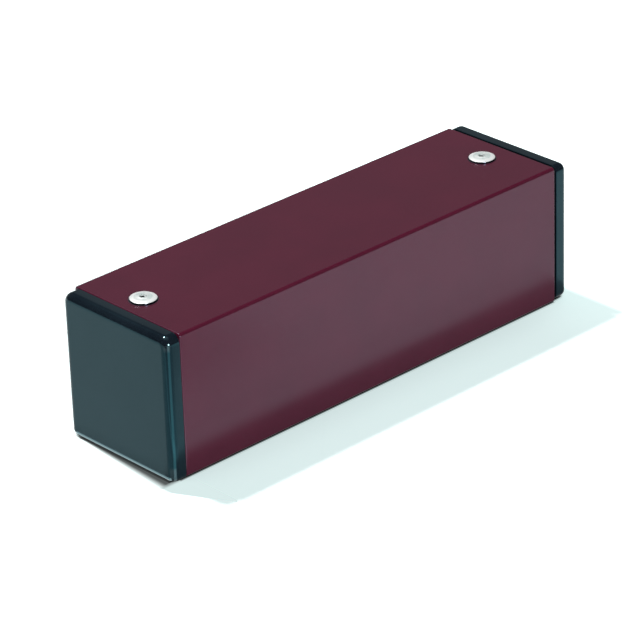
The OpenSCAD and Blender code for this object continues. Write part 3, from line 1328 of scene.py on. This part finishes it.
@dataclass(frozen=True)
class FloorFinish:
    """A white table that stays white for the camera and keeps a pale cool shadow.

    The camera sees the contact shade at the shaker's foot and the corner of the pale shadow. The other zones
    and wedges are lighter and darker places that only the gloss mirrors.
    """

    colour: Colour = (0.82, 0.84, 0.84)
    glow: Colour = (0.505, 0.647, 0.638)
    roughness: float = 0.9
    fleck_scale: float = 260.0
    fleck_depth: float = 0.02
    reach: float = 40 * MM

    # Contact shade
    contact_span: Span = (0.25, 0.5)
    end_line: FloorZone = FloorZone((-81.2, -21.6), (-75, 18), 0.7, 0.97)
    side_line: FloorZone = FloorZone((-78, -22.9), (74.6, 0), 0.9, 0.85)
    foot_fan: FloorWedge = FloorWedge((-79.95, 27), 83.2, 110, 5.0, 0.93)
    foot_room: FloorZone = FloorZone((-90, -23.0), (-70, 20.5), 2.4, 1.0)

    # Pale shadow
    inner_span: Span = (0.54, 0.66)
    inner_level: float = 0.92
    fade_span: Span = (50 * MM, 88 * MM)
    fade_lift: float = 0.15
    end_span: Span = (82.3 * MM, 84.2 * MM)
    end_lift: float = 0.6
    shadow_slant: FloorWedge = FloorWedge((-74.9, -42.6), -140, -60.5, 2.5, 1.0)
    shadow_room: FloorZone = FloorZone((-84.9, -43.5), (-73, -20.6), 1.4, 1.0)
    shadow_tone: Colour = (0.701, 0.839, 0.831)

    # Seen by the gloss only
    mirrored_glow: float = 0.07
    falloff_span: Span = (-90 * MM, 60 * MM)
    falloff_share: float = 0.27
    dark_side: FloorZone = FloorZone((-400, -400), (10, -52), 32, 0.36)
    corner_dark: FloorWedge = FloorWedge((-78, -20), -48, 54, 10, 0.3)
    corner_light: FloorWedge = FloorWedge((-78, -20), 43, 86, 12, 1.3)
    outer_shadow: FloorZone = FloorZone((-200, -45), (87, -32), 4.5, 0.75)
    end_light: FloorZone = FloorZone((-400, -30), (-81, 400), 5, 0.18)
    foot_light: FloorZone = FloorZone((-81.4, -21), (-79.2, 21), 0.4, 3.0)

    def material(self) -> bpy.types.Material:
        """Builds the finish.

        Returns:
            The material.
        """
        material, sheet, shader = new_material("table_white")
        place = sheet.object_place((0, 0, 0))
        along = sheet.parts(place)["X"]
        ray = sheet.add("ShaderNodeLightPath").outputs
        mirrored = sheet.maths("MAXIMUM", ray["Is Glossy Ray"], ray["Is Transmission Ray"])
        open_sky = sheet.add("ShaderNodeAmbientOcclusion", {"Distance": self.reach}).outputs["AO"]
        lit = self._lit(sheet, place, open_sky)
        slant = self.shadow_slant.mask(sheet, place)
        slant = sheet.maths("MULTIPLY", slant, self.shadow_room.mask(sheet, place))
        lamplit = sheet.maths("MULTIPLY", lit, sheet.maths("SUBTRACT", 1.0, slant))
        shadow = sheet.ramp(open_sky, *self.inner_span, self.inner_level, 1.0)
        shadow = sheet.maths("ADD", shadow, sheet.ramp(along, *self.fade_span, 0.0, self.fade_lift))
        shadow = sheet.maths("ADD", shadow, sheet.ramp(along, *self.end_span, 0.0, self.end_lift))
        contact = sheet.maths("MAXIMUM", lit, mirrored)
        seen = sheet.maths("MULTIPLY", ray["Is Camera Ray"], sheet.maths("MULTIPLY", contact, shadow))
        dimmed = sheet.maths("MULTIPLY", mirrored, self._mirrored_dimming(sheet, place, along))
        lifted = sheet.maths("MULTIPLY", mirrored, self._mirrored_light(sheet, place))
        fleck = sheet.maths("MULTIPLY", sheet.noise(place, self.fleck_scale, detail=3), self.fleck_depth)
        tone = sheet.tint(sheet.maths("ADD", fleck, dimmed), self.colour, BLACK)
        glow = sheet.tint(slant, self.glow, self.shadow_tone)
        sheet.feed_all(shader, {
            "Base Color": sheet.tint(sheet.maths("MAXIMUM", lamplit, mirrored), BLACK, tone),
            "Roughness": self.roughness,
            "Specular IOR Level": 0.0,
            "Emission Color": sheet.tint(mirrored, glow, self.colour),
            "Emission Strength": sheet.maths("ADD", seen, lifted),
        })
        return material

    def _lit(self, sheet: NodeSheet, place: Socket, open_sky: Socket) -> Socket:
        """Builds how much of the light reaches the table, which is little at the shaker's foot.

        Args:
            sheet: The sheet of nodes.
            place: The table's coordinates.
            open_sky: How much of the sky is open there.

        Returns:
            The share of the light.
        """
        room = self.foot_room.mask(sheet, place)
        dark = sheet.maths("MULTIPLY", self.foot_fan.mask(sheet, place), room)
        for line in (self.end_line, self.side_line):
            dark = sheet.maths("MAXIMUM", dark, line.mask(sheet, place))
        in_open = sheet.ramp(open_sky, *self.contact_span, 0.0, 1.0)
        return sheet.maths("MULTIPLY", in_open, sheet.maths("SUBTRACT", 1.0, dark))

    def _mirrored_dimming(self, sheet: NodeSheet, place: Socket, along: Socket) -> Socket:
        """Builds how much darker the gloss sees the table.

        Args:
            sheet: The sheet of nodes.
            place: The table's coordinates.
            along: Their part along the tube.

        Returns:
            The share that is taken off.
        """
        level = sheet.ramp(along, *self.falloff_span, self.falloff_share, 0.0)
        for area in (self.dark_side, self.corner_dark):
            level = sheet.maths("ADD", level, area.mask(sheet, place))
        return level

    def _mirrored_light(self, sheet: NodeSheet, place: Socket) -> Socket:
        """Builds the extra light that the gloss sees: a little all over, and more in the bright places.

        Args:
            sheet: The sheet of nodes.
            place: The table's coordinates.

        Returns:
            The level.
        """
        level = self.mirrored_glow
        for area in (self.corner_light, self.outer_shadow, self.end_light, self.foot_light):
            level = sheet.maths("ADD", area.mask(sheet, place), level)
        return level


@dataclass
class Lamp:
    """One soft lamp that points at the shaker."""

    name: str
    direction: Triple
    distance: float
    size: float
    power: float

    def build(self, aim: Vector) -> None:
        """Hangs the lamp.

        Args:
            aim: The point that it shines at.
        """
        towards = Vector(self.direction).normalized()
        turn = towards.to_track_quat("Z", "Y").to_euler()
        bpy.ops.object.light_add(type="AREA", location=aim + towards * self.distance, rotation=turn)
        lamp = bpy.context.active_object
        lamp.name = self.name
        lamp.data.shape = "DISK"
        lamp.data.size = self.size
        lamp.data.energy = self.power


@dataclass
class Studio:
    """The table, the lamps and the surroundings that the gloss mirrors.

    The sky is given by pairs of height and level: pale at the horizon, dim above it and bright overhead.
    """

    table_size: float = 40
    lamps: tuple[Lamp, ...] = (
        Lamp("key_lamp", (-0.075, 0.4216, 0.91), distance=1.6, size=0.09, power=23.0),
        Lamp("front_fill", (-0.36, -0.97, 0.25), distance=1.8, size=0.5, power=19.5),
    )
    sky: tuple[Station, ...] = (
        (0.0, 0.55), (0.05, 0.35), (0.11, 0.06), (0.3, 0.1), (0.4, 0.25),
        (0.47, 0.18), (0.58, 0.03), (0.84, 0.03), (0.92, 0.55), (1.0, 0.6),
    )
    front_dim: float = 0.3
    front_span: Span = (-0.25, 0.25)
    left_dim: float = 0.12
    left_span: Span = (-0.6, -0.1)

    def build(self, aim: Vector) -> None:
        """Sets up the studio.

        Args:
            aim: The point that the lamps shine at.
        """
        deselect_all()
        bpy.ops.mesh.primitive_plane_add(size=self.table_size, location=(0, 0, 0))
        table = bpy.context.active_object
        table.name = "table_top"
        table.data.materials.append(FloorFinish().material())
        for lamp in self.lamps:
            lamp.build(aim)
        self._build_sky()

    def _build_sky(self) -> None:
        """Builds the surroundings, dimmer in front and to the left."""
        world = bpy.data.worlds.new("studio_room")
        bpy.context.scene.world = world
        world.use_nodes = True
        sheet = NodeSheet(world.node_tree)
        parts = sheet.parts(sheet.add("ShaderNodeTexCoord").outputs["Generated"])
        ramp = sheet.add("ShaderNodeValToRGB", {0: parts["Z"]})
        points = ramp.color_ramp.elements
        while len(points) < len(self.sky):
            points.new(0.5)
        for point, (place, level) in zip(points, self.sky):
            point.position = place
            point.color = (level, level, level, 1)
        front = sheet.ramp(parts["Y"], *self.front_span, self.front_dim, 1.0)
        left = sheet.ramp(parts["X"], *self.left_span, self.left_dim, 1.0)
        sheet.feed_all(world.node_tree.nodes["Background"], {
            "Color": ramp.outputs["Color"],
            "Strength": sheet.maths("MULTIPLY", front, left),
        })


@dataclass
class PhotoCamera:
    """The camera where the photographer's stood, with its angle of view."""

    azimuth: float = math.radians(-42.7826)
    elevation: float = math.radians(26.6705)
    roll: float = math.radians(-1.9647)
    distance: float = 1034.6887 * MM
    target: Triple = (-2.1782 * MM, 0, 14.479 * MM)
    focal_pixels: float = 3536.24
    sensor_width: float = 36
    clip_start: float = 10 * MM

    def build(self) -> None:
        """Sets up the camera and makes it the scene's own."""
        flat = math.cos(self.elevation)
        away_x, away_y = math.sin(self.azimuth) * flat, -math.cos(self.azimuth) * flat
        back = Vector((away_x, away_y, math.sin(self.elevation)))
        level = Vector((math.cos(self.azimuth), math.sin(self.azimuth), 0))
        upright = back.cross(level)
        right = level * math.cos(self.roll) + upright * math.sin(self.roll)
        up = upright * math.cos(self.roll) - level * math.sin(self.roll)
        place = Vector(self.target) + back * self.distance
        deselect_all()
        bpy.ops.object.camera_add(location=place)
        camera = bpy.context.active_object
        camera.name = "photo_camera"
        turn = Matrix((right, up, back)).transposed().to_4x4()
        camera.matrix_world = Matrix.Translation(place) @ turn
        camera.data.sensor_width = self.sensor_width
        camera.data.lens = self.focal_pixels * self.sensor_width / IMAGE_PIXELS
        camera.data.clip_start = self.clip_start
        bpy.context.scene.camera = camera


# Assembly


def build_shell(effects: Effects, tube: TubeShell) -> None:
    """Models and dresses the tube, its caps and its rivets.

    Args:
        effects: The shared effects.
        tube: The tube that the others fit.
    """
    left_rivet = BlindRivet(End.LEFT, tube, inset=7.6 * MM)
    right_rivet = BlindRivet(End.RIGHT, tube, inset=9.8 * MM)
    rivets = (left_rivet, right_rivet)
    tube.dress(tube.build(rivets), effects, rivets)
    # The mandrels are painted black as shade from just below their broken ends down.
    painted_shade_top = left_rivet.seat.z + left_rivet.stem_top - left_rivet.grime_drop
    mandrel_steel = MANDREL_FINISH.material(effects, unshaded_above=painted_shade_top)
    left_cap = EndCap(End.LEFT, tube, flange_t=5 * MM, foot_cut=1.5 * MM, plug_l=15.6 * MM)
    right_cap = EndCap(End.RIGHT, tube, gap=0.7 * MM, flange_r=1.9 * MM, corner_r=2.2 * MM)
    cap_plastic = left_cap.finish.material(effects, left_cap)
    for cap, rivet in zip((left_cap, right_cap), rivets):
        cap.dress(cap.build(rivet), cap_plastic)
        rivet.dress(rivet.build(), effects)
        rivet.dress_mandrel(rivet.build_mandrel(), mandrel_steel)


def build_shot(effects: Effects, tube: TubeShell) -> None:
    """Models and dresses the lanes of shot.

    Args:
        effects: The shared effects.
        tube: The tube that holds them.
    """
    fill = ShotFill(tube)
    shot_steel = SHOT_FINISH.material(effects)
    for lane in range(1, fill.lanes + 1):
        fill.dress(fill.build_lane(lane), lane, shot_steel)


def main() -> None:
    """Builds the shaker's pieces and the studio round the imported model."""
    logging.basicConfig(level=logging.INFO, format="%(name)s: %(message)s")
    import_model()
    deselect_all()
    bpy.context.scene.view_settings.view_transform = "Standard"
    PhotoCamera().build()
    effects = Effects()
    tube = TubeShell()
    build_shell(effects, tube)
    build_shot(effects, tube)
    Studio().build(tube.middle)


if __name__ == "__main__":
    main()
